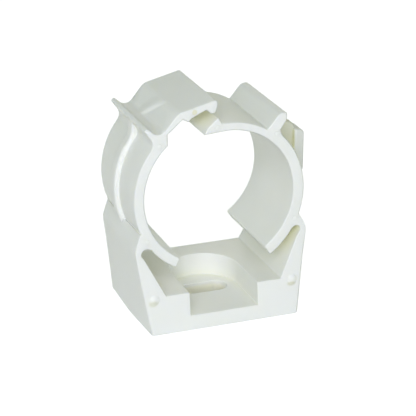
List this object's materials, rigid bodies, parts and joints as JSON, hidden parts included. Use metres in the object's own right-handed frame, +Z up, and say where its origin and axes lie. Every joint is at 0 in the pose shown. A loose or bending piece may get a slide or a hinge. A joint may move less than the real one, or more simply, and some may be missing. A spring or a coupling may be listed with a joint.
{
  "type": "conduit clamp",
  "caption": "One-piece snap-lock conduit clamp: a screw base with a slotted recess, two sprung arms around the conduit, a ratchet hook and tongue, and release lips.",
  "frame": {"origin": "centre of the screw slot on the mounting face", "axes": "+X across the clamp from the hook arm to the tongue arm, +Y along the conduit away from the open front of the screw recess, +Z up from the mounting face"},
  "size_m": [0.036, 0.0226, 0.0419],
  "materials": {
    "white_plastic": "satin as-moulded white plastic"
  },
  "bodies": {
    "root": {"clamp_body": "white_plastic"}
  },
  "joints": []
}
